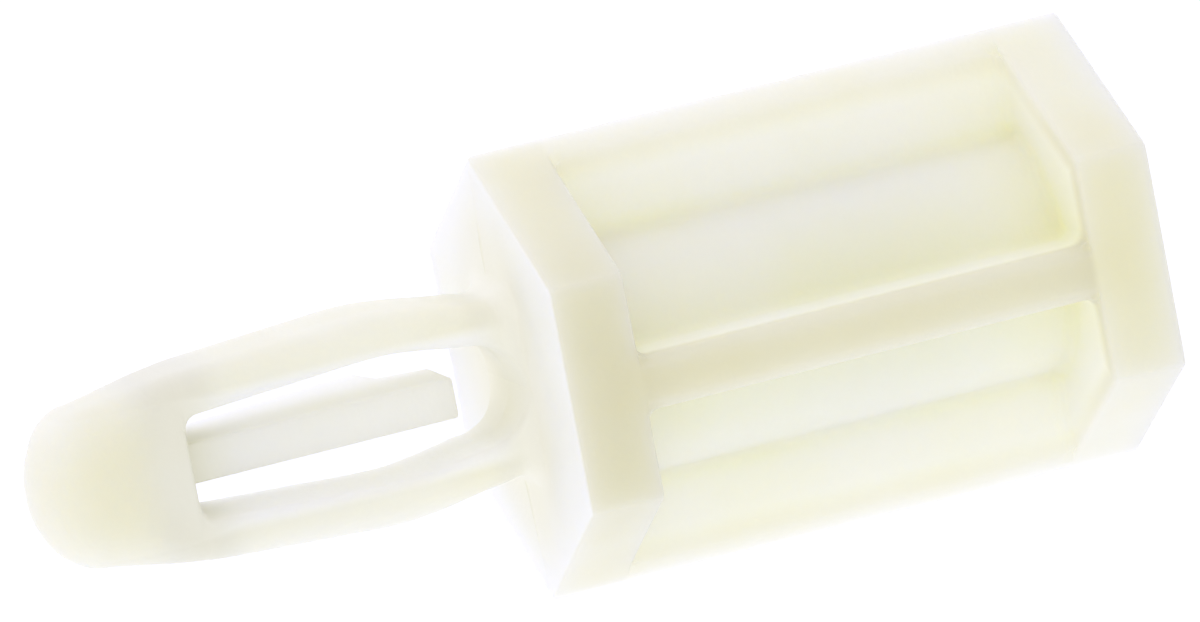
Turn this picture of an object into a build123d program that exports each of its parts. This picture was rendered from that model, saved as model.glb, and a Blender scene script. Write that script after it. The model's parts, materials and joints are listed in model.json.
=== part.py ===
"""Snap-in hexagonal nylon spacer: a ribbed hexagonal body with a closed snap plug on one end.

Frame: X runs along the axis, from the plug's seating face towards the screw end. Y points at one
hexagon corner and lies in the plane of the plug's two legs. Z is the outward normal of a flat.
The origin is the centre of the seating face. All lengths are in millimetres.
"""
from build123d import *
from math import sqrt
import os

# Hexagonal body
ACROSS_FLATS = 7.9
BODY_LENGTH = 12.7
COLLAR_LENGTH = 1.55
CORE_RADIUS = 2.5
RIB_THICKNESS = 1.1
CORNER_ROUND = 0.12

# Blind hole, at the minor radius of its M3 thread
SCREW_HOLE_RADIUS = 1.25
SCREW_HOLE_DEPTH = 9.0

# Foot of the plug: a block let into the seating collar, standing a little proud of it
FOOT_HALF_WIDTH = 2.2
FOOT_HALF_DEPTH = 1.4
FOOT_INSET = 0.8
FOOT_STEP = 0.06
FOOT_CORNER = 0.6
FOOT_EDGE = 0.04

# Outline of the snap plug, half widths at stations along the axis
PLUG_LENGTH = 10.12
PLUG_DEPTH = 2.24
PLUG_ROUND = 0.5
NECK_HALF = 1.78
BULGE_HALF = 2.15
BULGE_X = -3.0
SHOULDER_HALF = 1.83
SHOULDER_X = -7.6
CHEEK_HALF = 1.6
CHEEK_X = -9.0

# Window between the legs
WINDOW_END_X = -7.0
WINDOW_END_HALF = 1.03
WINDOW_WIDEST_HALF = 1.27
WINDOW_WIDEST_X = -2.8
WINDOW_MOUTH_HALF = 1.04
WINDOW_MOUTH_X = -1.1
WINDOW_CORNER = 0.25

# Tongue in the window: rooted in the nose, free at the other end. Its back is a long ramp that
# starts on the nose and drops at the crest to a plain strip.
TONGUE_WIDTH = 0.83
TONGUE_TIP_X = -1.27
TONGUE_FRONT = 0.44
TONGUE_BACK = -1.12
STRIP_BACK = -1.42
STRIP_X = -2.3
CREST_BACK = -2.42
CREST_X = -2.5
CREST_LENGTH = 0.6
RAMP_START_X = -8.9

# Stretch of each leg that moves inwards when the plug is squeezed, and of the tongue that bends
LEG_REAR_X = -1.45
LEG_FRONT_X = -5.6
TONGUE_BEND_X = -5.6

# Worked out from the sizes above
CORNER_RADIUS = ACROSS_FLATS / sqrt(3)
POCKET_END = BODY_LENGTH - COLLAR_LENGTH
POCKET_LENGTH = POCKET_END - COLLAR_LENGTH
SCREW_HOLE_END = BODY_LENGTH - SCREW_HOLE_DEPTH
SECTION = Plane.YZ


def hexagon_bar(start, length):
    """Length of hexagonal bar along X, with its six long corners rounded."""
    bar = extrude(SECTION.offset(start) * RegularPolygon(CORNER_RADIUS, 6), amount=length)
    return fillet(bar.edges().filter_by(Axis.X), CORNER_ROUND)


def round_bar(start, length, radius):
    """Length of round bar along X."""
    return extrude(SECTION.offset(start) * Circle(radius), amount=length)


def block(low, high):
    """Box between two opposite corners."""
    size = [b - a for a, b in zip(low, high)]
    return Pos(*low) * Box(*size, align=(Align.MIN, Align.MIN, Align.MIN))


def screw_hole():
    return round_bar(SCREW_HOLE_END, SCREW_HOLE_DEPTH, SCREW_HOLE_RADIUS)


def plug_foot():
    """Rounded block under both legs, with its standing edge eased."""
    outline = RectangleRounded(2 * FOOT_HALF_WIDTH, 2 * FOOT_HALF_DEPTH, FOOT_CORNER)
    foot = extrude(SECTION.offset(-FOOT_STEP) * outline, amount=FOOT_STEP + FOOT_INSET)
    top = foot.edges().group_by(Axis.X)[0]
    return chamfer(top, FOOT_EDGE)


def seat_collar():
    return hexagon_bar(0, COLLAR_LENGTH) - plug_foot()


def screw_collar():
    return hexagon_bar(POCKET_END, COLLAR_LENGTH) - screw_hole()


def core():
    return round_bar(COLLAR_LENGTH, POCKET_LENGTH, CORE_RADIUS) - screw_hole()


def rib(angle):
    """Rib from the core out to the hexagon, turned about the axis from +Y towards +Z."""
    half = RIB_THICKNESS / 2
    low = (COLLAR_LENGTH, 0, -half)
    high = (POCKET_END, ACROSS_FLATS, half)
    slab = Rot(angle, 0, 0) * block(low, high)
    body = hexagon_bar(COLLAR_LENGTH, POCKET_LENGTH) & slab
    return body - round_bar(COLLAR_LENGTH, POCKET_LENGTH, CORE_RADIUS)


def plug_blank():
    """Bullet outline cut from a flat slab, with its edges rounded all round."""
    flank = Spline(
        (0, NECK_HALF),
        (BULGE_X, BULGE_HALF),
        (SHOULDER_X, SHOULDER_HALF),
        (CHEEK_X, CHEEK_HALF),
        (-PLUG_LENGTH, 0),
        tangents=((-1, 0.2), (0, -1)),
    )
    root_line = Line((0, NECK_HALF), (0, -NECK_HALF))
    outline = make_face([flank, mirror(flank, Plane.XZ), root_line])
    slab = extrude(outline, amount=PLUG_DEPTH / 2, both=True)
    return fillet(slab.edges().filter_by(GeomType.BSPLINE), PLUG_ROUND)


def window():
    """Opening between the legs: square at the nose, rounded at the foot."""
    upper = Spline(
        (WINDOW_END_X, WINDOW_END_HALF),
        (WINDOW_WIDEST_X, WINDOW_WIDEST_HALF),
        (WINDOW_MOUTH_X, WINDOW_MOUTH_HALF),
        (-FOOT_STEP, 0),
        tangents=((1, 0.1), (0, -1)),
    )
    lower = mirror(upper, Plane.XZ)
    end = Line((WINDOW_END_X, WINDOW_END_HALF), (WINDOW_END_X, -WINDOW_END_HALF))
    opening = extrude(make_face([upper, lower, end]), amount=PLUG_DEPTH, both=True)
    corners = opening.edges().filter_by(Axis.Z).group_by(Axis.X)[0]
    return fillet(corners, WINDOW_CORNER)


def slice_of(solid, start, end, side=0):
    """The solid between two stations; side keeps the +Y or the -Y half, and 0 keeps both."""
    bottom = 0 if side > 0 else -ACROSS_FLATS
    top = 0 if side < 0 else ACROSS_FLATS
    return solid & block((start, bottom, -ACROSS_FLATS), (end, top, ACROSS_FLATS))


def tongue_strip():
    """The whole tongue with its ramp, seen from the side, between its two parallel flanks."""
    outline = Polyline(
        (RAMP_START_X, TONGUE_FRONT),
        (TONGUE_TIP_X, TONGUE_FRONT),
        (TONGUE_TIP_X, TONGUE_BACK),
        (STRIP_X, STRIP_BACK),
        (CREST_X, CREST_BACK),
        (CREST_X - CREST_LENGTH, CREST_BACK),
        (RAMP_START_X, TONGUE_BACK),
        close=True,
    )
    return extrude(Plane.XZ * make_face(outline), amount=TONGUE_WIDTH / 2, both=True)


def plug_nodes():
    """The plug cut at its stations: a root, a moving stretch and a front for each leg."""
    legs = plug_blank() - window()
    strip = tongue_strip()
    nodes = {"plug_foot": plug_foot()}
    nodes["nose"] = slice_of(legs, -PLUG_LENGTH, WINDOW_END_X) + slice_of(strip, RAMP_START_X, WINDOW_END_X)
    nodes["tongue_root"] = slice_of(strip, WINDOW_END_X, TONGUE_BEND_X)
    nodes["tongue"] = slice_of(strip, TONGUE_BEND_X, TONGUE_TIP_X)
    for name, side in (("upper", 1), ("lower", -1)):
        nodes[f"{name}_leg_root"] = slice_of(legs, LEG_REAR_X, -FOOT_STEP, side)
        nodes[f"{name}_leg"] = slice_of(legs, LEG_FRONT_X, LEG_REAR_X, side)
        nodes[f"{name}_leg_front"] = slice_of(legs, WINDOW_END_X, LEG_FRONT_X, side)
    return nodes


def body_nodes():
    ribs = {"rib_upper": 0, "rib_front": 90, "rib_lower": 180, "rib_back": 270}
    nodes = {name: rib(angle) for name, angle in ribs.items()}
    nodes["seat_collar"] = seat_collar()
    nodes["screw_collar"] = screw_collar()
    nodes["core"] = core()
    return nodes


os.makedirs("parts", exist_ok=True)
for name, shape in {**body_nodes(), **plug_nodes()}.items():
    export_step(shape, f"parts/{name}.step")
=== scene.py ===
import json
import math

import bmesh
import bpy
from mathutils import Matrix, Vector, noise


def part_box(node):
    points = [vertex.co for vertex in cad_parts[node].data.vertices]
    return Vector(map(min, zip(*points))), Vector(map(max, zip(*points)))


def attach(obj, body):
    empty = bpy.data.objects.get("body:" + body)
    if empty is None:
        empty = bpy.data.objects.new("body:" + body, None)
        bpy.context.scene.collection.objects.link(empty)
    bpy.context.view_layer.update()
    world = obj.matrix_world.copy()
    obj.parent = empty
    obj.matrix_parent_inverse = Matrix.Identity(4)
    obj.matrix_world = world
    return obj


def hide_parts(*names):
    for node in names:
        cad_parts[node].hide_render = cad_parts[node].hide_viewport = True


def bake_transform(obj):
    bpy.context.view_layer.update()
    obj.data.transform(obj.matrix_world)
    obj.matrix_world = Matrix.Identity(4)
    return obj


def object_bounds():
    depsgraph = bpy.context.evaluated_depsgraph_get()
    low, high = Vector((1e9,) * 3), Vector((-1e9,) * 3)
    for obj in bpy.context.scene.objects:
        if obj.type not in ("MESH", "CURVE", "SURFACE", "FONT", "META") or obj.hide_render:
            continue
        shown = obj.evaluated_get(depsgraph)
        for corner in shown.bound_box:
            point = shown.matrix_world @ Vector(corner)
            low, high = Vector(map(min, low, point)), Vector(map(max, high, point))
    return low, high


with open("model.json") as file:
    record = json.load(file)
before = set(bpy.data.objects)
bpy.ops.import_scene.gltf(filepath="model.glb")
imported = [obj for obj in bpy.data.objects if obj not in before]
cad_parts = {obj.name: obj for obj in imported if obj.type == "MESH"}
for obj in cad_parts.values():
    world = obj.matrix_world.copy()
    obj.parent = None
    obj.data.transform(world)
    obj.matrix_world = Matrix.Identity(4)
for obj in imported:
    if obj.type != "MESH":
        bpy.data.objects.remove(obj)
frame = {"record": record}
cad_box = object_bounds()

# Every size below is in millimetres; meshes are scaled to metres when they are made.
MM = 0.001
CREASE_ANGLE = math.radians(50)
MERGE_DISTANCE = 0.0001
FLAT_WEIGHT = 80


def span(node):
    """Lowest and highest corner of a CAD node in millimetres."""
    low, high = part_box(node)
    return low / MM, high / MM


def mount(name):
    return next(m for m in frame["record"]["mounts"] if m["name"] == name)


# Body, from the frame
COLLAR = span("seat_collar")[1].x
BODY_LENGTH = span("screw_collar")[1].x
APOTHEM = span("seat_collar")[1].z
CORE_RADIUS = span("core")[1].z
RIB_HALF = span("rib_upper")[1].z
HOLE_RADIUS = mount("screw_hole")["dims"]["r_mm"]
HOLE_DEPTH = mount("screw_hole")["dims"]["length_mm"]

# Moulding details of the body
CORNER_ROUND = 0.14
FACE_ROUND = 0.12
WALL_ROUND = 0.1
WALL_FILLET = 0.28
RIB_FILLET = 0.35
RIB_EDGE = 0.16
RIB_EDGE_RUN_OUT = 0.3 * RIB_EDGE
EDGE_STEPS = 4
FILLET_STEPS = 5
THREAD_PITCH = 0.5
THREAD_DEPTH = 0.24
THREAD_LENGTH = 7.0
THREAD_LEAD = 0.4
TOOTH_GAIN, TOOTH_ROOT = 1.35, 0.15
THREAD_STEPS = 8
BORE_FLOOR_EDGE = 0.1

# Where the body's section and end faces have their points
RIB_END_STATIONS = (0.17, 0.28)
RIB_SIDE_SHARES = (0.35, 0.7)
CORE_STEPS = 22
CORNER_FAN = (-0.9, -0.45, 0.0, 0.45, 0.9)
CORNER_CLEAR = 0.03
POCKET_STEPS = 24
SEAT_SHARES = (0.12, 0.35, 0.5, 0.6, 0.7, 0.78, 0.86, 0.93)
SCREW_END_SHARES = (0.7, 0.4, 0.15)

# Ragged flash on two corners, and the parting line that crosses the seat and the plug's root.
# Noise rates are in waves per millimetre, and each line has its own row of the noise.
FLASH_HEIGHT = 0.03
FLASH_WIDTH = 0.05
FLASH_RATE, FLASH_ROW = 1.7, (9.0, 0.0)
NICK_RATE, NICK_ROW = 5.0, (4.0, 2.0)
FLASH_MEAN, NICK_SHARE, FLASH_LEAST = 0.6, 0.6, 0.15
PARTING_HEIGHT = 0.025
PARTING_RATE, PARTING_ROW = 2.3, (5.0, 1.0)
PARTING_MEAN, PARTING_SWING = 0.7, 0.6
PARTING_BOW = -0.3
STRAIGHT_SHARE = 0.9
ON_LINE = 0.001
ROOT_LINE_END = -1.6
ROOT_LINE_RATE, ROOT_LINE_ROW = 6.0, (3.0, 1.0)

# Plug, from the frame
NOSE_TIP = span("nose")[0].x
WINDOW_END = span("nose")[1].x
PLUG_HALF_DEPTH = span("upper_leg")[1].z
TONGUE_HALF = span("tongue")[1].y
TONGUE_FRONT = span("tongue")[1].z
TONGUE_TIP = span("tongue")[1].x
CREST_BACK = span("tongue")[0].z

# Plug outline: (x, half width) of the legs' outer and inner sides
OUTER = [(-8.9, 1.62), (-7.6, 1.83), (-6.8, 1.925), (-5.5, 2.01), (-4.25, 2.085)]
OUTER += [(-3.0, 2.147), (-2.1, 2.07), (-1.25, 1.93), (-0.4, 1.8)]
INNER = [(WINDOW_END, 1.03), (-4.6, 1.18), (-2.8, 1.275), (-2.0, 1.2), (-1.1, 1.045)]
CHEEK = OUTER[0]
ROOT_FLOOR = -0.03
ROOT_OVERLAP = 0.02
ROOT_POWER = 2.2
ROOT_FLARE = 0.4
BURIED = 0.6
BURIED_INSET = 0.05
BURIED_SLOPE = 2.5
LEG_ROUND = 0.52
NOSE_ROUND = 0.8
INNER_ROUND = 0.16
NOSE_EDGE = 0.1
NOSE_END_SHARES = (0.3, 0.6, 0.9)
NOSE_STEPS, TIP_STEPS = 8, 24
ROUND_STEPS = 6
FRONT_STEPS, REAR_STEPS, ARCH_STEPS, ROOT_STEPS = 20, 16, 12, 4
WINDOW_FILLET = 0.3
BULGE = -3.0

# Back of the tongue: (x, z) from the ramp's start on the nose to the free end
BACK_LINE = [(-8.9, -PLUG_HALF_DEPTH), (-3.1, CREST_BACK), (-2.5, CREST_BACK), (-2.3, -1.42)]
BACK_LINE += [(TONGUE_TIP, -PLUG_HALF_DEPTH)]
BACK_ROUND = 0.12
ROUND_LIMIT = 0.45
TONGUE_EDGE = 0.06
TONGUE_STEPS = 40


def mesh_piece(name, rings, close_ends=True):
    """Closed tube through rings of equal length, each end filled by a fan from its middle."""
    bm = bmesh.new()
    loops = [[bm.verts.new(Vector(p) * MM) for p in ring] for ring in rings]
    count = len(loops[0])
    for a, b in zip(loops, loops[1:]):
        for i in range(count):
            j = (i + 1) % count
            bm.faces.new((a[i], a[j], b[j], b[i]))
    if close_ends:
        for loop, flip in ((loops[0], True), (loops[-1], False)):
            middle = bm.verts.new(sum((v.co for v in loop), Vector()) / count)
            for i in range(count):
                j = (i + 1) % count
                corners = (middle, loop[j], loop[i]) if flip else (middle, loop[i], loop[j])
                bm.faces.new(corners)
    bmesh.ops.remove_doubles(bm, verts=bm.verts, dist=MERGE_DISTANCE * MM)
    mesh = bpy.data.meshes.new(name)
    finish_mesh(bm, mesh)
    piece = bpy.data.objects.new(name, mesh)
    bpy.context.scene.collection.objects.link(piece)
    return piece


def finish_mesh(bm, mesh):
    """Smooth shading that breaks only at true creases."""
    bmesh.ops.recalc_face_normals(bm, faces=bm.faces)
    for face in bm.faces:
        face.smooth = True
    for edge in bm.edges:
        edge.smooth = edge.calc_face_angle(0.0) < CREASE_ANGLE
    bm.to_mesh(mesh)
    bm.free()


def weigh_normals(piece):
    """Flat faces keep flat shading right up to their rounded edges."""
    modifier = piece.modifiers.new("normals", "WEIGHTED_NORMAL")
    modifier.mode = "FACE_AREA"
    modifier.weight = FLAT_WEIGHT
    modifier.keep_sharp = True


def steps(start, end, count):
    """count + 1 evenly spaced values from start to end."""
    return [start + (end - start) * k / count for k in range(count + 1)]


def uneven(along, rate, row):
    """Smooth unevenness along a line, mostly between -0.5 and 0.5."""
    return noise.noise(Vector((along * rate, *row)))


def curve_through(stations, x):
    """Smooth curve through (x, value) stations, with the slopes of a Catmull-Rom spline."""
    if x <= stations[0][0]:
        return stations[0][1]
    if x >= stations[-1][0]:
        return stations[-1][1]
    slopes = []
    for k in range(len(stations)):
        a, b = stations[max(k - 1, 0)], stations[min(k + 1, len(stations) - 1)]
        slopes.append((b[1] - a[1]) / (b[0] - a[0]))
    k = next(i for i in range(len(stations) - 1) if x <= stations[i + 1][0])
    (x0, y0), (x1, y1) = stations[k], stations[k + 1]
    width = x1 - x0
    t = (x - x0) / width
    rise = 3 * t * t - 2 * t ** 3
    lead = (t ** 3 - 2 * t * t + t) * width * slopes[k]
    tail = (t ** 3 - t * t) * width * slopes[k + 1]
    return y0 + (y1 - y0) * rise + lead + tail


# ---- Body -------------------------------------------------------------------------------------


def hexagon_radius(angle, inset=0.0):
    """Distance from the axis to the rounded hexagon, which has a corner at angle 0."""
    apothem = APOTHEM - inset
    corner = (angle + math.pi / 6) % (math.pi / 3) - math.pi / 6
    centre = (apothem - CORNER_ROUND) / math.cos(math.pi / 6)
    tangent = math.atan2(CORNER_ROUND / 2, centre + CORNER_ROUND * math.cos(math.pi / 6))
    if abs(corner) < tangent:
        off_centre = centre * math.sin(corner)
        return centre * math.cos(corner) + math.sqrt(CORNER_ROUND ** 2 - off_centre ** 2)
    return apothem / math.cos(math.pi / 6 - abs(corner))


def polar(radius, angle):
    return Vector((radius * math.cos(angle), radius * math.sin(angle)))


def inside_hexagon(point, inset):
    """The point, pulled in along its radius if it lies outside the inset hexagon."""
    limit = hexagon_radius(math.atan2(point.y, point.x), inset)
    return point * min(1.0, limit / point.length)


def half_rib(flat):
    """One side of a rib along +X of its own plane, as (point, outward normal, on the rib's end)."""
    points = []
    shift = math.pi / 6 if flat else 0.0
    for t in (0.0, FLASH_WIDTH, *RIB_END_STATIONS, RIB_HALF - RIB_EDGE):
        reach = APOTHEM if flat else APOTHEM / math.cos(math.pi / 6) - t / math.sqrt(3)
        angle = math.atan2(t, reach)
        points.append((polar(hexagon_radius(angle + shift), angle), Vector((1, 0)), 1.0))
    reach = points[-1][0].x - RIB_EDGE_RUN_OUT
    for k in (1, 2, 3):
        normal = polar(1.0, k * math.pi / 6)
        side = (reach - RIB_EDGE * (1 - normal.x), RIB_HALF - RIB_EDGE * (1 - normal.y))
        points.append((Vector(side), normal, 1.0 - k / 3))
    centre_reach = math.sqrt((CORE_RADIUS + RIB_FILLET) ** 2 - (RIB_HALF + RIB_FILLET) ** 2)
    centre = Vector((centre_reach, RIB_HALF + RIB_FILLET))
    start = points[-1][0].x
    for share in RIB_SIDE_SHARES:
        along = start + (centre_reach - start) * share
        points.append((Vector((along, RIB_HALF)), Vector((0, 1)), 0.0))
    end_turn = math.pi / 2 - math.atan2(centre.y, centre.x)
    for turn in steps(0, end_turn, FILLET_STEPS):
        normal = Vector((math.sin(turn), math.cos(turn)))
        points.append((centre - normal * RIB_FILLET, normal, 0.0))
    return points


def outline():
    """The body's section between its collars, once round, as (point, normal, on a rib's end)."""
    points = []
    for quarter in range(4):
        turn = quarter * math.pi / 2
        first, following = half_rib(quarter % 2 == 1), half_rib(quarter % 2 == 0)
        last = [(p.yx, n.yx, e) for p, n, e in reversed(following)][:-1]
        start = math.atan2(first[-1][0].y, first[-1][0].x)
        end = math.atan2(last[0][0].y, last[0][0].x)
        corner = math.pi / 6 if quarter % 2 else math.pi / 3
        fine = [corner + c * math.pi / 180 for c in CORNER_FAN]
        coarse = [a for a in steps(start, end, CORE_STEPS)[1:-1] if abs(a - corner) > CORNER_CLEAR]
        arc = [(polar(CORE_RADIUS, a), polar(1.0, a), 0.0) for a in sorted(coarse + fine)]
        spin = Matrix.Rotation(turn, 2)
        points += [(spin @ p, spin @ n, e) for p, n, e in first + arc + last]
    return points


def at_wall(point, normal, on_end):
    """Where a point of the section ends up at the top of the fillet on a pocket's end wall."""
    return point + normal * WALL_FILLET * (1 - on_end)


SECTION = outline()
ANGLES = [math.atan2(p.y, p.x) for p in (at_wall(*station) for station in SECTION)]


def flash(index, x):
    """Height of the ragged flash that the mould's parting line leaves on two corners."""
    point = SECTION[index][0]
    if abs(point.y) > FLASH_WIDTH / 2:
        return 0.0
    side = 1.0 if point.x > 0 else -1.0
    ragged = uneven(x, FLASH_RATE, (side * FLASH_ROW[0], FLASH_ROW[1]))
    nicks = uneven(x, NICK_RATE, (side * NICK_ROW[0], NICK_ROW[1]))
    return FLASH_HEIGHT * max(FLASH_LEAST, FLASH_MEAN + (ragged + NICK_SHARE * nicks))


def hexagon_ring(x, inset=0.0, keep_ribs=False):
    """The rounded hexagon pulled in by inset, except on the ends of the ribs if those are kept."""
    ring = []
    for i, angle in enumerate(ANGLES):
        cut = inset * (1 - SECTION[i][2]) if keep_ribs else inset
        radius = hexagon_radius(angle, cut) + (flash(i, x) if cut < FACE_ROUND / 2 else 0.0)
        p = polar(radius, angle)
        ring.append((x, p.x, p.y))
    return ring


def section_ring(x, offset):
    """The ribbed section, grown outwards by offset and kept inside the hexagon."""
    ring = []
    inset = WALL_ROUND if offset > 0 else 0.0
    for i, (point, normal, on_end) in enumerate(SECTION):
        grown = inside_hexagon(point + normal * offset * (1 - on_end), inset)
        if on_end == 1.0:
            grown = point + point.normalized() * flash(i, x)
        ring.append((x, grown.x, grown.y))
    return ring


def scaled_ring(x, radius_at):
    return [(x, *polar(radius_at(angle), angle)) for angle in ANGLES]


def seat_ring(share):
    """Ring on the seat face, which carries a fine raised parting line from corner to corner."""
    ring = []
    bow = PARTING_BOW if share < STRAIGHT_SHARE else 0.0
    for x, y, z in scaled_ring(0.0, lambda angle: share * hexagon_radius(angle)):
        on_line = abs(z) < ON_LINE
        shift = bow * (1 - (y / APOTHEM) ** 2) * math.exp(-z * z)
        ragged = PARTING_MEAN + PARTING_SWING * uneven(y, PARTING_RATE, PARTING_ROW)
        ring.append((-PARTING_HEIGHT * ragged if on_line else x, y, z + shift))
    return ring


def round_edge(x, inward, radius, keep_ribs=False):
    """Rings round a convex edge, from the hexagon's side (first) to the face at x (last)."""
    rings = []
    for turn in steps(0, math.pi / 2, EDGE_STEPS):
        back = radius * (1 - math.sin(turn))
        rings.append(hexagon_ring(x + inward * back, radius * (1 - math.cos(turn)), keep_ribs))
    return rings


def wall_fillet(x, inward):
    """Rings from the pocket's floor (last) up its end wall (first)."""
    rings = []
    for turn in steps(0, math.pi / 2, FILLET_STEPS):
        along = WALL_FILLET * (1 - math.cos(turn))
        rings.append(section_ring(x + inward * along, WALL_FILLET * (1 - math.sin(turn))))
    return rings


def hole_radius(x, angle):
    """Threaded hole with a countersunk mouth; the thread is a helix cut outwards from the wall."""
    depth = BODY_LENGTH - x
    lead = HOLE_RADIUS + THREAD_LEAD - depth
    phase = (x / THREAD_PITCH - angle / (2 * math.pi)) % 1.0
    tooth = min(1.0, max(0.0, TOOTH_GAIN * (1 - abs(2 * phase - 1)) - TOOTH_ROOT))
    fade = min(1.0, max(0.0, (THREAD_LENGTH - depth) / THREAD_PITCH))
    return max(lead, HOLE_RADIUS + THREAD_DEPTH * tooth * fade)


def body_rings():
    end_wall = BODY_LENGTH - COLLAR
    rings = [seat_ring(share) for share in SEAT_SHARES]
    rings += reversed(round_edge(0.0, 1, FACE_ROUND))
    rings += round_edge(COLLAR, -1, WALL_ROUND, keep_ribs=True)
    rings += wall_fillet(COLLAR, 1)
    for x in steps(COLLAR + WALL_FILLET, end_wall - WALL_FILLET, POCKET_STEPS)[1:-1]:
        rings.append(section_ring(x, 0.0))
    rings += reversed(wall_fillet(end_wall, -1))
    rings += reversed(round_edge(end_wall, 1, WALL_ROUND, keep_ribs=True))
    rings += round_edge(BODY_LENGTH, -1, FACE_ROUND)
    mouth = HOLE_RADIUS + THREAD_LEAD
    for share in SCREW_END_SHARES:
        ring = scaled_ring(BODY_LENGTH, lambda a: mouth + share * (hexagon_radius(a) - mouth))
        rings.append(ring)
    bore_steps = int(THREAD_LENGTH / THREAD_PITCH * THREAD_STEPS)
    for x in steps(BODY_LENGTH, BODY_LENGTH - THREAD_LENGTH, bore_steps):
        rings.append(scaled_ring(x, lambda a: hole_radius(x, a)))
    bore_end = BODY_LENGTH - HOLE_DEPTH
    rings.append(scaled_ring(bore_end + BORE_FLOOR_EDGE, lambda a: HOLE_RADIUS))
    rings.append(scaled_ring(bore_end, lambda a: HOLE_RADIUS - BORE_FLOOR_EDGE))
    return rings


# ---- Snap plug --------------------------------------------------------------------------------


def rounded_box_ring(x, low, high, outer_round, inner_round):
    """Section across X: a box from low to high corner, (y, z), rounder on its far y side."""
    ring = []
    size = min(high[0] - low[0], high[1] - low[1]) / 2
    far, near = min(outer_round, size), min(inner_round, size)
    corners = [(high[0], high[1], far), (low[0], high[1], near)]
    corners += [(low[0], low[1], near), (high[0], low[1], far)]
    for quarter, (y, z, radius) in enumerate(corners):
        sign_y = 1 if quarter in (0, 3) else -1
        sign_z = 1 if quarter in (0, 1) else -1
        centre = (y - sign_y * radius, z - sign_z * radius)
        for turn in steps(0, math.pi / 2, ROUND_STEPS):
            p = polar(radius, turn + quarter * math.pi / 2)
            ring.append((x, centre[0] + p.x, centre[1] + p.y))
    return ring


def outer_half(x):
    """Half width over the legs and the nose, which ends in half an ellipse."""
    if x < CHEEK[0]:
        share = min(1.0, (CHEEK[0] - x) / (CHEEK[0] - NOSE_TIP))
        return CHEEK[1] * math.sqrt(1 - share * share)
    flare = max(0.0, min(ROOT_FLARE, x + ROOT_FLARE))
    return curve_through(OUTER, x) + ROOT_FLARE - math.sqrt(ROOT_FLARE ** 2 - flare ** 2)


def inner_half(x):
    """Half width of the window, which closes in a round at the root and is filleted at the nose."""
    mouth = INNER[-1]
    if x > ROOT_FLOOR:
        return -ROOT_OVERLAP
    if x > mouth[0]:
        share = (x - mouth[0]) / (ROOT_FLOOR - mouth[0])
        return mouth[1] * math.sqrt(max(0.0, 1 - share ** ROOT_POWER))
    if x < WINDOW_END + WINDOW_FILLET:
        inset = min(WINDOW_FILLET, WINDOW_END + WINDOW_FILLET - x)
        curve = WINDOW_FILLET - math.sqrt(WINDOW_FILLET ** 2 - inset ** 2)
        return curve_through(INNER, x) - curve
    return curve_through(INNER, x)


def half_depth(x):
    """Half depth of the plug across its flat sides: flared at the root, rounded at the tip."""
    if x < CHEEK[0]:
        share = min(1.0, (CHEEK[0] - x) / (CHEEK[0] - NOSE_TIP))
        return PLUG_HALF_DEPTH * math.sqrt(1 - share ** 3)
    flare = max(0.0, min(ROOT_FLARE, x + ROOT_FLARE))
    return PLUG_HALF_DEPTH + ROOT_FLARE - math.sqrt(ROOT_FLARE ** 2 - flare ** 2)


def edge_round(x):
    """Radius of the plug's long outer edges, which grow rounder towards the nose."""
    share = min(1.0, max(0.0, (WINDOW_END - x) / (WINDOW_END - CHEEK[0])))
    return LEG_ROUND + (NOSE_ROUND - LEG_ROUND) * share * share * (3 - 2 * share)


def leg_ring(x, side):
    """Section of a leg, pulled in where it is buried in the nose."""
    buried = max(0.0, min(BURIED_INSET, BURIED_SLOPE * (WINDOW_END - NOSE_EDGE - x)))
    inner = inner_half(x)
    outer = outer_half(min(x, 0.0)) - buried
    depth = half_depth(min(x, 0.0)) - buried
    ring = rounded_box_ring(x, (inner, -depth), (outer, depth), edge_round(x), INNER_ROUND)
    middle = len(ring) // 2
    ridge = inner - root_line(x)
    ring[middle:middle] = [(x, inner, FLASH_WIDTH), (x, ridge, 0.0), (x, inner, -FLASH_WIDTH)]
    return [(px, side * py, pz) for px, py, pz in ring]


def root_line(x):
    """Height of the parting line round the bottom of the window, which fades out along the legs."""
    if x > ROOT_FLOOR:
        return 0.0
    fade = max(0.0, 1 - (x - ROOT_FLOOR) / ROOT_LINE_END)
    return PARTING_HEIGHT * fade * (1 + uneven(x, ROOT_LINE_RATE, ROOT_LINE_ROW))


def leg(name, side):
    """One leg in two halves, each from its fixed end to the bulge, where they meet, joined into one
    mesh.
    """
    seam = WINDOW_END - NOSE_EDGE
    front = [WINDOW_END - BURIED, seam - BURIED_INSET / BURIED_SLOPE, seam]
    turns = steps(0, math.pi / 2, ROUND_STEPS)
    front += [WINDOW_END + WINDOW_FILLET * (1 - math.cos(t)) for t in turns]
    front += steps(WINDOW_END + WINDOW_FILLET, BULGE, FRONT_STEPS)[1:]
    mouth = INNER[-1][0]
    rear = steps(BULGE, mouth, REAR_STEPS)
    turns = steps(0, math.pi / 2, ARCH_STEPS)[1:]
    rear += [mouth + (ROOT_FLOOR - mouth) * math.sin(t) for t in turns]
    rear += steps(ROOT_FLOOR, 0.0, ROOT_STEPS)[1:] + [BURIED]
    halves = []
    for part, stations, still_end in (("front", front, WINDOW_END), ("rear", rear, 0.0)):
        rings = [leg_ring(x, side) for x in stations]
        half = mesh_piece(f"{name}_{part}", rings, close_ends=False)
        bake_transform(half)
        halves.append(half)
    return joined(name, halves)


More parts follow.
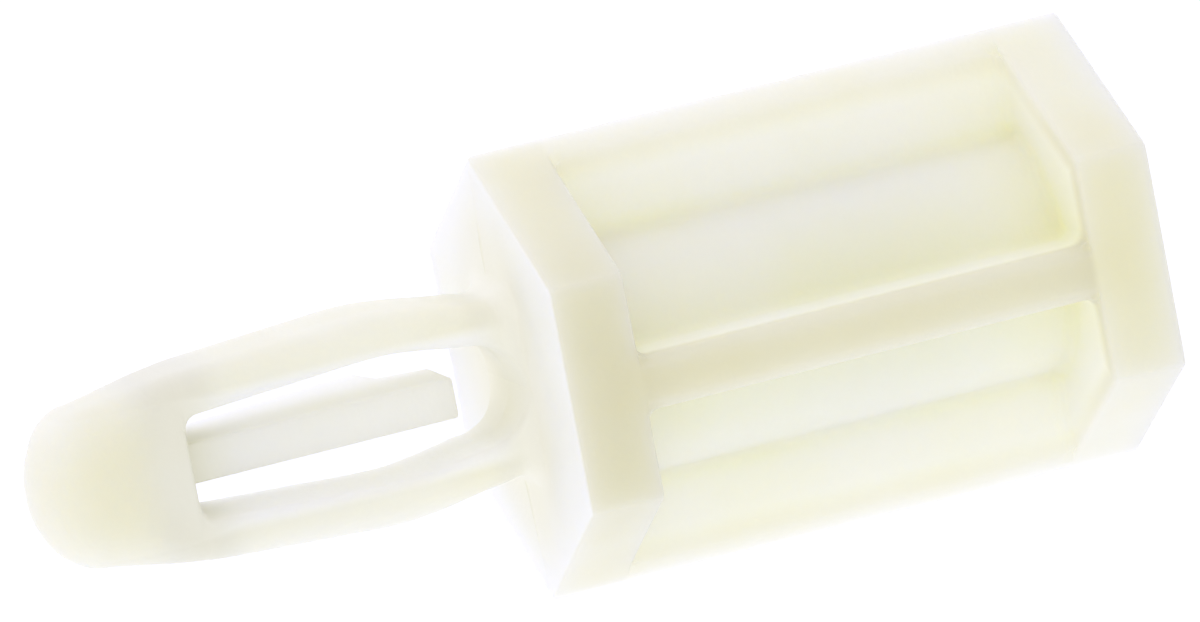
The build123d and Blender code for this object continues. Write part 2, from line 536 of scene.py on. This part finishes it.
def joined(name, halves):
    """The halves as one closed mesh."""
    bpy.ops.object.select_all(action="DESELECT")
    for half in halves:
        half.select_set(True)
    bpy.context.view_layer.objects.active = halves[0]
    bpy.ops.object.join()
    piece = halves[0]
    piece.name = f"{name}_skin"
    bm = bmesh.new()
    bm.from_mesh(piece.data)
    bmesh.ops.remove_doubles(bm, verts=bm.verts, dist=MERGE_DISTANCE * MM)
    bmesh.ops.holes_fill(bm, edges=[e for e in bm.edges if e.is_boundary], sides=0)
    finish_mesh(bm, piece.data)
    return piece


def nose_ring(x, inset=0.0):
    """Section of the nose, pulled in by inset."""
    wide, deep, edge = outer_half(x) - inset, half_depth(x) - inset, edge_round(x)
    return rounded_box_ring(x, (-wide, -deep), (wide, deep), edge, edge)


def nose():
    """Solid tip from its flat back, with a rounded edge, to the end of its ellipse."""
    seam = WINDOW_END - NOSE_EDGE
    straight = steps(seam, CHEEK[0], NOSE_STEPS)
    length = CHEEK[0] - NOSE_TIP
    turns = steps(0, math.pi / 2, TIP_STEPS)[1:-1]
    curved = [CHEEK[0] - length * math.sin(t) for t in turns]
    end_wall = nose_ring(WINDOW_END, NOSE_EDGE)
    rings = [[(x, y * s, z * s) for x, y, z in end_wall] for s in NOSE_END_SHARES]
    for turn in steps(math.pi / 2, 0, EDGE_STEPS)[:-1]:
        inset = NOSE_EDGE * (1 - math.cos(turn))
        rings.append(nose_ring(seam + NOSE_EDGE * math.sin(turn), inset))
    rings += [nose_ring(x) for x in straight + curved]
    rings.append([(NOSE_TIP, y / 2, z / 2) for x, y, z in rings[-1]])
    return mesh_piece("nose_skin", rings)


def softened(line, radius, count=3):
    """The open line with each inner corner replaced by a short round."""
    points = [line[0]]
    for a, b, c in zip(line, line[1:], line[2:]):
        corner = Vector(b)
        into, out = Vector(a) - corner, Vector(c) - corner
        first = corner + into.normalized() * min(radius, into.length * ROUND_LIMIT)
        last = corner + out.normalized() * min(radius, out.length * ROUND_LIMIT)
        for t in steps(0, 1, count):
            p = first * (1 - t) ** 2 + corner * 2 * t * (1 - t) + last * t * t
            points.append((p.x, p.y))
    return points + [line[-1]]


def straight_through(line, x):
    """Height at x on straight runs through (x, height) points."""
    for (x0, y0), (x1, y1) in zip(line, line[1:]):
        if x <= x1:
            return y0 + (y1 - y0) * (x - x0) / (x1 - x0)
    return line[-1][1]


def tongue():
    """Flat tongue with a ramp on its back that drops at its crest, and a square free end."""
    line = softened(BACK_LINE, BACK_ROUND)
    stations = {x for x, back in line[:-1]}
    stations |= set(steps(WINDOW_END - BURIED, TONGUE_TIP - TONGUE_EDGE, TONGUE_STEPS)[:-1])
    rings = []
    for x in sorted(stations):
        front = TONGUE_FRONT if x >= WINDOW_END - BURIED else 0.0
        low, high = (-TONGUE_HALF, straight_through(line, x)), (TONGUE_HALF, front)
        rings.append(rounded_box_ring(x, low, high, TONGUE_EDGE, TONGUE_EDGE))
    back = BACK_LINE[-1][1]
    for turn in steps(0, math.pi / 2, EDGE_STEPS):
        inset = TONGUE_EDGE * (1 - math.cos(turn))
        low = (-TONGUE_HALF + inset, back + inset)
        high = (TONGUE_HALF - inset, TONGUE_FRONT - inset)
        x = TONGUE_TIP - TONGUE_EDGE * (1 - math.sin(turn))
        rings.append(rounded_box_ring(x, low, high, TONGUE_EDGE, TONGUE_EDGE))
    return mesh_piece("tongue_skin", rings)


# ---- Material ---------------------------------------------------------------------------------

# How far light travels under the surface of the plug, of the body and of its hollow core, which
# is told by its distance from the axis
PLUG_SCATTER = 1.8
BODY_SCATTER = 2.6
CORE_SCATTER = 1.2
CORE_NEAR, CORE_FAR = 2.55, 3.0
SCATTER_BY_CHANNEL = (1.0, 0.95, 0.8)

# Light scatters fully from SEAM_FAR on, and not at all within SEAM_NEAR, of where meshes meet:
# at the nose, and round the plug's root
SEAM_NEAR, SEAM_FAR = 0.15, 1.2
ROOT_HALF_WIDTH = 2.4
ROOT_HALF_DEPTH = 1.7

# The thick colour on the body, partly the yellower look of thick nylon and partly painted shade:
# how deep it goes, its share on the collars, and what the screw hole and the slanting flats take
# from it; the slanting flats stay lighter as painted light, so the flats across Z carry painted
# shade
SKIN_DEPTH = 0.6
EDGE_DEPTH = 0.05
RIB_BLEND = 0.1
COLLAR_SHARE = 0.92
HOLE_SHARE = 0.3
SLANT_NEAR, SLANT_FAR = 2.1, 3.6
COLLAR_SLANT_SHARE = 0.42
RIB_SLANT_SHARE = 0.6

# The thick colour on the plug: its shares on the legs, what their roots add as painted shade, its
# share on the nose, and what stays of it at the seams; the window's inner walls and the tongue
# get none of the legs' share, painted light that keeps them pale
LEG_SHARE = 0.45
ROOT_SHADE_SHARE = 0.15
NOSE_SHARE = 0.4
SEAM_SHARE = 0.8
LEG_INNER, LEG_MIDDLE = 1.2, 1.5
ROOT_NEAR, ROOT_FAR = -0.9, -2.6
ROOT_END, ROOT_START = -0.05, -0.9
NOSE_THIN, NOSE_THICK = -5.8, -7.4

# Colour where the nylon is thin on the plug and in the body's walls, a painted glow of light
# over its core beside the ribs, and the colour where it is thick, which also carries painted shade
THIN_COLOR = (0.98, 0.975, 0.87)
WALL_COLOR = (0.985, 0.97, 0.81)
CORE_GLOW_COLOR = (1.0, 0.985, 0.76)
CORE_GLOW_NEAR, CORE_GLOW_FAR = 1.0, 2.4
THICK_AND_SHADE_COLOR = (0.72, 0.7, 0.535)

# Clouds and grain, with noise scales in cells per millimetre, and the gloss
CLOUD_TINT = (0.985, 0.975, 0.93)
CLOUD_SCALE, CLOUD_DETAIL = 0.3, 3.0
CLOUD_LOW, CLOUD_HIGH = 0.35, 0.75
GRAIN_SCALE, GRAIN_DETAIL = 9.0, 2.0
GRAIN_DEPTH, GRAIN_STRENGTH = 0.03, 0.25
GLOSS_ROUGHNESS = 0.45
GLOSS_LEVEL = 0.3
NYLON_IOR = 1.53


def calc(tree, operation, *values):
    """Math node; each value is a number or another node's output."""
    node = tree.nodes.new("ShaderNodeMath")
    node.operation = operation
    for socket, value in zip(node.inputs, values):
        if isinstance(value, (int, float)):
            socket.default_value = value
        else:
            tree.links.new(value, socket)
    return node.outputs["Value"]


def product(tree, *values):
    result = values[0]
    for value in values[1:]:
        result = calc(tree, "MULTIPLY", result, value)
    return result


def largest(tree, *values):
    result = values[0]
    for value in values[1:]:
        result = calc(tree, "MAXIMUM", result, value)
    return result


def distance(tree, value, point=0.0):
    return calc(tree, "ABSOLUTE", calc(tree, "SUBTRACT", value, point))


def rest_after(tree, share, most=1.0):
    """1 less most times the share."""
    return calc(tree, "SUBTRACT", 1.0, calc(tree, "MULTIPLY", share, most))


def length_of(tree, a, b):
    squares = [calc(tree, "MULTIPLY", value, value) for value in (a, b)]
    return calc(tree, "SQRT", calc(tree, "ADD", *squares))


def axes(tree, place, unit):
    """The three coordinates in the given unit."""
    parts = tree.nodes.new("ShaderNodeSeparateXYZ")
    tree.links.new(place, parts.inputs["Vector"])
    return [calc(tree, "DIVIDE", parts.outputs[axis], unit) for axis in "XYZ"]


def smooth_step(tree, value, low, high):
    """0 up to low and 1 from high on; low may be the larger number."""
    fade = tree.nodes.new("ShaderNodeMapRange")
    fade.interpolation_type = "SMOOTHSTEP"
    fade.inputs["From Min"].default_value = low
    fade.inputs["From Max"].default_value = high
    tree.links.new(value, fade.inputs["Value"])
    return fade.outputs["Result"]


def mixed(tree, share, first, second, blend="MIX"):
    """Mix of two colours; each is a triple or another node's output."""
    node = tree.nodes.new("ShaderNodeMix")
    node.data_type = "RGBA"
    node.blend_type = blend
    tree.links.new(share, node.inputs["Factor"])
    sockets = [socket for socket in node.inputs if socket.type == "RGBA"]
    for socket, color in zip(sockets, (first, second)):
        if isinstance(color, tuple):
            socket.default_value = (*color, 1)
        else:
            tree.links.new(color, socket)
    return next(socket for socket in node.outputs if socket.type == "RGBA")


def noise_texture(tree, place, scale, detail):
    node = tree.nodes.new("ShaderNodeTexNoise")
    node.inputs["Scale"].default_value = scale / MM
    node.inputs["Detail"].default_value = detail
    tree.links.new(place, node.inputs["Vector"])
    return node.outputs["Fac"]


def nylon():
    """Natural nylon: milky and translucent, yellower where it is thick, with a fine matte grain;
    its colour also carries painted shade on the flats across Z and at the legs' roots, and painted
    light on the slanting flats, in the window and as a glow over the core.
    """
    material = bpy.data.materials.new("natural_nylon")
    material.use_nodes = True
    tree = material.node_tree
    shader = tree.nodes["Principled BSDF"]
    shader.inputs["Roughness"].default_value = GLOSS_ROUGHNESS
    shader.inputs["IOR"].default_value = NYLON_IOR
    shader.inputs["Specular IOR Level"].default_value = GLOSS_LEVEL
    shader.inputs["Subsurface Radius"].default_value = SCATTER_BY_CHANNEL
    place = tree.nodes.new("ShaderNodeTexCoord").outputs["Object"]
    x, y, z = axes(tree, place, MM)
    in_body = smooth_step(tree, x, -COLLAR, COLLAR)
    past_seat = smooth_step(tree, x, 0.0, COLLAR)
    mask = seam_mask(tree, x, y, z)
    tree.links.new(mask, shader.inputs["Subsurface Weight"])

    near_core = smooth_step(tree, length_of(tree, y, z), CORE_FAR, CORE_NEAR)
    reach = [value * MM for value in (PLUG_SCATTER, BODY_SCATTER, CORE_SCATTER)]
    scatter = calc(tree, "MULTIPLY_ADD", in_body, reach[1] - reach[0], reach[0])
    on_core = product(tree, near_core, past_seat)
    scatter = calc(tree, "MULTIPLY_ADD", on_core, reach[2] - reach[1], scatter)
    tree.links.new(scatter, shader.inputs["Subsurface Scale"])

    in_plug = plug_thickness_and_shade(tree, x, y, mask)
    thickness_and_shade = largest(tree, body_thickness_and_shade(tree, x, y, z), in_plug)
    # Painted glow: the core's floor beside the ribs gets a brighter, yellower colour that stands in
    # for light passing through the ribs into the pockets.
    beside_rib = smooth_step(tree, distance(tree, y), CORE_GLOW_FAR, CORE_GLOW_NEAR)
    thin = mixed(tree, in_body, THIN_COLOR, WALL_COLOR)
    hollow = mixed(tree, product(tree, beside_rib, past_seat), thin, CORE_GLOW_COLOR)
    # The thick colour mixed in here carries painted shade as well as the yellower look of thick
    # nylon.
    milky = mixed(tree, thickness_and_shade, hollow, THICK_AND_SHADE_COLOR)
    clouds = noise_texture(tree, place, CLOUD_SCALE, CLOUD_DETAIL)
    in_cloud = smooth_step(tree, clouds, CLOUD_LOW, CLOUD_HIGH)
    cloudy = mixed(tree, in_cloud, milky, CLOUD_TINT, "MULTIPLY")
    tree.links.new(cloudy, shader.inputs["Base Color"])

    bump = tree.nodes.new("ShaderNodeBump")
    bump.inputs["Strength"].default_value = GRAIN_STRENGTH
    bump.inputs["Distance"].default_value = GRAIN_DEPTH * MM
    grain = noise_texture(tree, place, GRAIN_SCALE, GRAIN_DETAIL)
    tree.links.new(grain, bump.inputs["Height"])
    tree.links.new(bump.outputs["Normal"], shader.inputs["Normal"])
    return material


def plug_thickness_and_shade(tree, x, y, mask):
    """Share of the thick colour on the plug, with painted shade added at the legs' roots, none of
    the legs' share on the window's inner walls and the tongue as painted light, and a little less
    beside its seams.
    """
    # Painted light: the legs' inner walls and the tongue, in the shade of the window, keep the pale
    # colour.
    beside_window = smooth_step(tree, distance(tree, y), LEG_INNER, LEG_MIDDLE)
    off_body = smooth_step(tree, x, ROOT_END, ROOT_START)
    # Painted shade: the legs' roots, where they meet the seat, get more of the dark thick colour.
    shade_at_root = smooth_step(tree, x, ROOT_FAR, ROOT_NEAR)
    leg_share = calc(tree, "MULTIPLY_ADD", shade_at_root, ROOT_SHADE_SHARE, LEG_SHARE)
    in_legs = product(tree, beside_window, off_body, leg_share)
    in_nose = product(tree, smooth_step(tree, x, NOSE_THIN, NOSE_THICK), NOSE_SHARE)
    clear_of_seam = calc(tree, "MULTIPLY_ADD", mask, 1.0 - SEAM_SHARE, SEAM_SHARE)
    return product(tree, largest(tree, in_legs, in_nose), clear_of_seam)


def body_thickness_and_shade(tree, x, y, z):
    """Share of the thick colour on the body: most on the hexagon's flats, none inside them; less on
    the slanting flats and none on the end faces, as painted light, so the flats across Z carry
    painted shade.
    """
    across = [distance(tree, z)]
    for sign in (1.0, -1.0):
        slanted = product(tree, y, sign * math.sin(math.pi / 3))
        across.append(distance(tree, calc(tree, "MULTIPLY_ADD", z, math.cos(math.pi / 3), slanted)))
    on_flat = smooth_step(tree, largest(tree, *across), APOTHEM - SKIN_DEPTH, APOTHEM - RIB_EDGE)
    # Painted light: the slanting flats get less of the dark thick colour than the flats across Z,
    # and the end faces none.
    on_slant = smooth_step(tree, distance(tree, y), SLANT_NEAR, SLANT_FAR)
    off_seat = smooth_step(tree, x, 0.0, EDGE_DEPTH)
    off_screw_end = smooth_step(tree, x, BODY_LENGTH, BODY_LENGTH - EDGE_DEPTH)
    far_wall = BODY_LENGTH - COLLAR
    past_seat_collar = smooth_step(tree, x, COLLAR - RIB_BLEND, COLLAR + RIB_BLEND)
    before_screw_collar = smooth_step(tree, x, far_wall + RIB_BLEND, far_wall - RIB_BLEND)
    on_rib = product(tree, past_seat_collar, before_screw_collar)
    hollowed = product(tree, smooth_step(tree, x, COLLAR, BODY_LENGTH), HOLE_SHARE)
    collar_share = calc(tree, "SUBTRACT", COLLAR_SHARE, hollowed)
    on_collar = product(tree, collar_share, rest_after(tree, on_slant, COLLAR_SLANT_SHARE))
    from_rib = product(tree, on_rib, rest_after(tree, on_slant, RIB_SLANT_SHARE))
    solid = calc(tree, "MULTIPLY_ADD", on_collar, rest_after(tree, on_rib), from_rib)
    return product(tree, on_flat, solid, off_seat, off_screw_end)


def seam_mask(tree, x, y, z):
    """Weight of scattering: full except where one moulding is made of meshes that meet flush."""
    from_nose = distance(tree, x, WINDOW_END - NOSE_EDGE)
    sides = (y, ROOT_HALF_WIDTH), (z, ROOT_HALF_DEPTH)
    across = length_of(tree, *(calc(tree, "DIVIDE", value, half) for value, half in sides))
    outside = largest(tree, calc(tree, "SUBTRACT", across, 1.0), 0.0)
    from_root = length_of(tree, x, product(tree, outside, ROOT_HALF_DEPTH))
    nearest = calc(tree, "MINIMUM", from_nose, from_root)
    return smooth_step(tree, nearest, SEAM_NEAR, SEAM_FAR)


# ---- Stage ------------------------------------------------------------------------------------

# Camera, on a long lens turned about its own axis so that the spacer rises to the right
VIEW_AZIMUTH = 147.14
VIEW_ELEVATION = 70.46
VIEW_ROLL = 110.36
VIEW_WIDTH = 23.82
LOOK_AT = Vector((2.0, 0.98, 0.41))
CAMERA_DISTANCE = 285.0
SENSOR = 36.0
CLIP = (10.0, 10000.0)

# Light by direction; the overhead light starts at a direction's height of OVERHEAD_LOW
OVERHEAD_LOW, OVERHEAD_FULL = 0.1, 0.75
OVERHEAD = (0.56, 0.56, 0.5)
FROM_PLUG_END = (0.33, 0.32, 0.32)
FROM_BELOW_VIEW = (0.96, 0.98, 1.2)
FROM_ABOVE_VIEW = (0.83, 0.81, 0.98)
FLOOR_GLOW = (0.96, 0.96, 1.08)
FLOOR_REACH = 2000.0
FLOOR_GREY = 0.1
FLOOR_ROUGHNESS = 0.9


def camera():
    azimuth, elevation = math.radians(VIEW_AZIMUTH), math.radians(VIEW_ELEVATION)
    level = math.cos(elevation)
    toward = Vector((level * math.cos(azimuth), level * math.sin(azimuth), math.sin(elevation)))
    data = bpy.data.cameras.new("camera")
    data.sensor_width = SENSOR
    data.lens = SENSOR * CAMERA_DISTANCE / VIEW_WIDTH
    data.clip_start, data.clip_end = CLIP[0] * MM, CLIP[1] * MM
    holder = bpy.data.objects.new("camera", data)
    roll = Matrix.Rotation(math.radians(VIEW_ROLL), 3, "Z")
    aim = toward.to_track_quat("Z", "Y").to_matrix() @ roll
    place = (LOOK_AT + toward * CAMERA_DISTANCE) * MM
    holder.matrix_world = Matrix.Translation(place) @ aim.to_4x4()
    bpy.context.scene.collection.objects.link(holder)
    bpy.context.scene.camera = holder


def floor():
    mesh = bpy.data.meshes.new("floor")
    reach = FLOOR_REACH * MM
    around = [(-reach, -reach), (reach, -reach), (reach, reach), (-reach, reach)]
    mesh.from_pydata([(x, y, cad_box[0].z) for x, y in around], [], [(0, 1, 2, 3)])
    piece = bpy.data.objects.new("floor", mesh)
    bpy.context.scene.collection.objects.link(piece)
    material = bpy.data.materials.new("pale_floor")
    material.use_nodes = True
    shader = material.node_tree.nodes["Principled BSDF"]
    shader.inputs["Base Color"].default_value = (FLOOR_GREY, FLOOR_GREY, FLOOR_GREY, 1)
    shader.inputs["Roughness"].default_value = FLOOR_ROUGHNESS
    shader.inputs["Emission Color"].default_value = (*FLOOR_GLOW, 1)
    shader.inputs["Emission Strength"].default_value = 1.0
    mesh.materials.append(material)


def studio():
    """Soft light from overhead, and cooler light from the plug's end and from both sides."""
    world = bpy.data.worlds.new("studio")
    world.use_nodes = True
    tree = world.node_tree
    x, y, z = axes(tree, tree.nodes.new("ShaderNodeTexCoord").outputs["Generated"], 1.0)
    overhead = tree.nodes.new("ShaderNodeMapRange")
    overhead.inputs["From Min"].default_value = OVERHEAD_LOW
    overhead.inputs["From Max"].default_value = OVERHEAD_FULL
    tree.links.new(z, overhead.inputs["Value"])
    light = dimmed(tree, OVERHEAD, overhead.outputs["Result"])
    sides = [(product(tree, x, -1.0), FROM_PLUG_END), (product(tree, y, -1.0), FROM_BELOW_VIEW)]
    sides.append((y, FROM_ABOVE_VIEW))
    for share, color in sides:
        total = tree.nodes.new("ShaderNodeVectorMath")
        total.operation = "ADD"
        tree.links.new(light, total.inputs[0])
        tree.links.new(dimmed(tree, color, largest(tree, share, 0.0)), total.inputs[1])
        light = total.outputs["Vector"]
    tree.links.new(light, tree.nodes["Background"].inputs["Color"])
    bpy.context.scene.world = world


def dimmed(tree, color, share):
    node = tree.nodes.new("ShaderNodeVectorMath")
    node.operation = "SCALE"
    node.inputs[0].default_value = color
    tree.links.new(share, node.inputs["Scale"])
    return node.outputs["Vector"]


def stage():
    bpy.context.scene.view_settings.view_transform = "Standard"
    studio()
    floor()
    camera()


# ---- Assembly ---------------------------------------------------------------------------------

NYLON = nylon()


def finish_piece(piece, nodes):
    piece.data.materials.append(NYLON)
    weigh_normals(piece)
    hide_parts(*nodes)


body = mesh_piece("body_skin", body_rings())
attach(body, "spacer")
finish_piece(body, [
    "seat_collar", "screw_collar", "core", "rib_upper", "rib_lower", "rib_front", "rib_back",
    "plug_foot",
])
for leg_name, side in (("upper_leg", 1), ("lower_leg", -1)):
    finish_piece(leg(leg_name, side), [leg_name, f"{leg_name}_root", f"{leg_name}_front"])
tip = nose()
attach(tip, "spacer")
finish_piece(tip, ["nose"])
strip = tongue()
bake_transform(strip)
finish_piece(strip, ["tongue", "tongue_root"])
stage()
